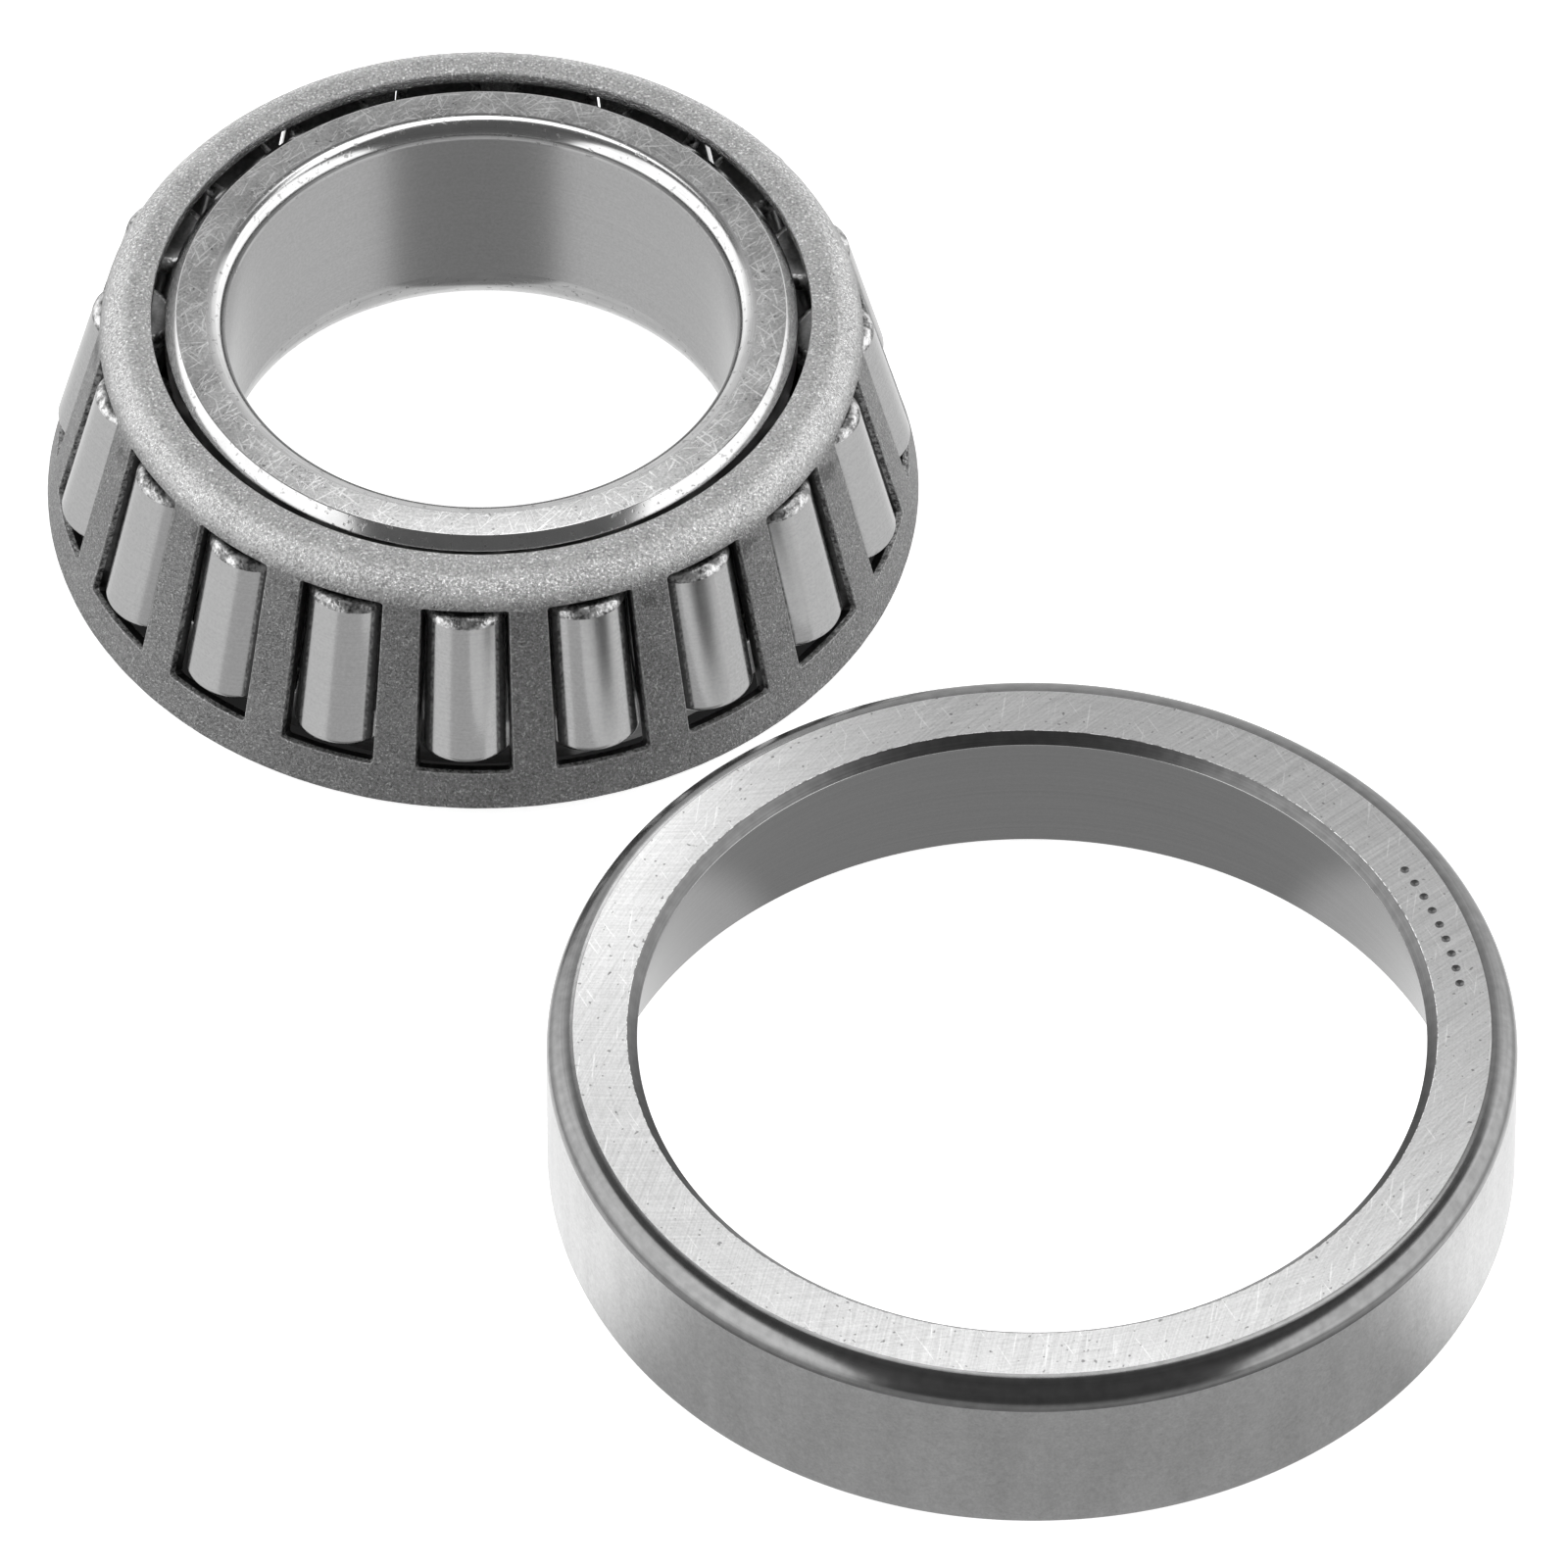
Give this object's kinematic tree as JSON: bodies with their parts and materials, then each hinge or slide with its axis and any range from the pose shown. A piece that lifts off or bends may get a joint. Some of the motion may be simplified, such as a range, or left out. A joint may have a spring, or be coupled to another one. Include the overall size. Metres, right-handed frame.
{
  "type": "tapered roller bearing",
  "caption": "Separable single-row tapered roller bearing: inner ring with pressed-steel cage and tapered rollers, and a loose outer ring lying beside it.",
  "frame": {"origin": "on the bore axis of the inner ring, at half the inner ring's width", "axes": "+Z along the bore from the wide back face to the small front face; -Y and +X towards the loose outer ring"},
  "size_m": [0.077, 0.0954, 0.0148],
  "materials": {
    "ring_steel": "through-hardened bearing steel, ground, with fine random handling scratches on the end faces",
    "cage_steel": "pressed low-carbon steel sheet, matte and grainy",
    "roller_steel": "hardened steel, fine ground and polished along the taper, rough on the end faces"
  },
  "bodies": {
    "inner_ring": {"inner_ring": "ring_steel"},
    "cage": {"cage": "cage_steel"},
    "outer_ring": {"outer_ring": "ring_steel"},
    "roller_01": {"roller_01": "roller_steel"},
    "roller_02": {"roller_02": "roller_steel"},
    "roller_03": {"roller_03": "roller_steel"},
    "roller_04": {"roller_04": "roller_steel"},
    "roller_05": {"roller_05": "roller_steel"},
    "roller_06": {"roller_06": "roller_steel"},
    "roller_07": {"roller_07": "roller_steel"},
    "roller_08": {"roller_08": "roller_steel"},
    "roller_09": {"roller_09": "roller_steel"},
    "roller_10": {"roller_10": "roller_steel"},
    "roller_11": {"roller_11": "roller_steel"},
    "roller_12": {"roller_12": "roller_steel"},
    "roller_13": {"roller_13": "roller_steel"},
    "roller_14": {"roller_14": "roller_steel"},
    "roller_15": {"roller_15": "roller_steel"},
    "roller_16": {"roller_16": "roller_steel"},
    "roller_17": {"roller_17": "roller_steel"},
    "roller_18": {"roller_18": "roller_steel"},
    "roller_19": {"roller_19": "roller_steel"}
  },
  "joints": [
    {"name": "cage_spin", "type": "hinge", "parent": "inner_ring", "child": "cage", "pos_m": [0, 0, 0], "axis": [0, 0, 1], "continuous": true},
    {"name": "roller_01_spin", "type": "hinge", "parent": "cage", "child": "roller_01", "pos_m": [-0.00074, -0.02025, -0.00376], "axis": [0.0078, 0.2131, 0.977], "continuous": true},
    {"name": "roller_02_spin", "type": "hinge", "parent": "cage", "child": "roller_02", "pos_m": [0.00587, -0.0194, -0.00376], "axis": [-0.0618, 0.2041, 0.977], "continuous": true},
    {"name": "roller_03_spin", "type": "hinge", "parent": "cage", "child": "roller_03", "pos_m": [0.01185, -0.01644, -0.00376], "axis": [-0.1247, 0.1729, 0.977], "continuous": true},
    {"name": "roller_04_spin", "type": "hinge", "parent": "cage", "child": "roller_04", "pos_m": [0.01655, -0.0117, -0.00376], "axis": [-0.1741, 0.1231, 0.977], "continuous": true},
    {"name": "roller_05_spin", "type": "hinge", "parent": "cage", "child": "roller_05", "pos_m": [0.01945, -0.00569, -0.00376], "axis": [-0.2046, 0.0599, 0.977], "continuous": true},
    {"name": "roller_06_spin", "type": "hinge", "parent": "cage", "child": "roller_06", "pos_m": [0.02025, 0.00093, -0.00376], "axis": [-0.213, -0.0098, 0.977], "continuous": true},
    {"name": "roller_07_spin", "type": "hinge", "parent": "cage", "child": "roller_07", "pos_m": [0.01885, 0.00746, -0.00376], "axis": [-0.1983, -0.0784, 0.977], "continuous": true},
    {"name": "roller_08_spin", "type": "hinge", "parent": "cage", "child": "roller_08", "pos_m": [0.0154, 0.01317, -0.00376], "axis": [-0.162, -0.1386, 0.977], "continuous": true},
    {"name": "roller_09_spin", "type": "hinge", "parent": "cage", "child": "roller_09", "pos_m": [0.01029, 0.01746, -0.00376], "axis": [-0.1083, -0.1837, 0.977], "continuous": true},
    {"name": "roller_10_spin", "type": "hinge", "parent": "cage", "child": "roller_10", "pos_m": [0.00407, 0.01985, -0.00376], "axis": [-0.0428, -0.2089, 0.977], "continuous": true},
    {"name": "roller_11_spin", "type": "hinge", "parent": "cage", "child": "roller_11", "pos_m": [-0.0026, 0.0201, -0.00376], "axis": [0.0274, -0.2114, 0.977], "continuous": true},
    {"name": "roller_12_spin", "type": "hinge", "parent": "cage", "child": "roller_12", "pos_m": [-0.00899, 0.01817, -0.00376], "axis": [0.0945, -0.1911, 0.977], "continuous": true},
    {"name": "roller_13_spin", "type": "hinge", "parent": "cage", "child": "roller_13", "pos_m": [-0.0144, 0.01426, -0.00376], "axis": [0.1515, -0.15, 0.977], "continuous": true},
    {"name": "roller_14_spin", "type": "hinge", "parent": "cage", "child": "roller_14", "pos_m": [-0.01825, 0.00882, -0.00376], "axis": [0.192, -0.0927, 0.977], "continuous": true},
    {"name": "roller_15_spin", "type": "hinge", "parent": "cage", "child": "roller_15", "pos_m": [-0.02012, 0.00241, -0.00376], "axis": [0.2117, -0.0254, 0.977], "continuous": true},
    {"name": "roller_16_spin", "type": "hinge", "parent": "cage", "child": "roller_16", "pos_m": [-0.01982, -0.00425, -0.00376], "axis": [0.2085, 0.0447, 0.977], "continuous": true},
    {"name": "roller_17_spin", "type": "hinge", "parent": "cage", "child": "roller_17", "pos_m": [-0.01736, -0.01046, -0.00376], "axis": [0.1826, 0.11, 0.977], "continuous": true},
    {"name": "roller_18_spin", "type": "hinge", "parent": "cage", "child": "roller_18", "pos_m": [-0.01303, -0.01553, -0.00376], "axis": [0.137, 0.1633, 0.977], "continuous": true},
    {"name": "roller_19_spin", "type": "hinge", "parent": "cage", "child": "roller_19", "pos_m": [-0.00728, -0.01891, -0.00376], "axis": [0.0766, 0.199, 0.977], "continuous": true},
    {"name": "outer_ring_spin", "type": "hinge", "parent": "inner_ring", "child": "outer_ring", "pos_m": [0.0288, -0.0472, 0], "axis": [0, 0, 1], "continuous": true}
  ],
  "couplings": [
    {"joint": "roller_01_spin", "follows": "cage_spin", "ratio": 6.902},
    {"joint": "roller_02_spin", "follows": "cage_spin", "ratio": 6.902},
    {"joint": "roller_03_spin", "follows": "cage_spin", "ratio": 6.902},
    {"joint": "roller_04_spin", "follows": "cage_spin", "ratio": 6.902},
    {"joint": "roller_05_spin", "follows": "cage_spin", "ratio": 6.902},
    {"joint": "roller_06_spin", "follows": "cage_spin", "ratio": 6.902},
    {"joint": "roller_07_spin", "follows": "cage_spin", "ratio": 6.902},
    {"joint": "roller_08_spin", "follows": "cage_spin", "ratio": 6.902},
    {"joint": "roller_09_spin", "follows": "cage_spin", "ratio": 6.902},
    {"joint": "roller_10_spin", "follows": "cage_spin", "ratio": 6.902},
    {"joint": "roller_11_spin", "follows": "cage_spin", "ratio": 6.902},
    {"joint": "roller_12_spin", "follows": "cage_spin", "ratio": 6.902},
    {"joint": "roller_13_spin", "follows": "cage_spin", "ratio": 6.902},
    {"joint": "roller_14_spin", "follows": "cage_spin", "ratio": 6.902},
    {"joint": "roller_15_spin", "follows": "cage_spin", "ratio": 6.902},
    {"joint": "roller_16_spin", "follows": "cage_spin", "ratio": 6.902},
    {"joint": "roller_17_spin", "follows": "cage_spin", "ratio": 6.902},
    {"joint": "roller_18_spin", "follows": "cage_spin", "ratio": 6.902},
    {"joint": "roller_19_spin", "follows": "cage_spin", "ratio": 6.902}
  ]
}
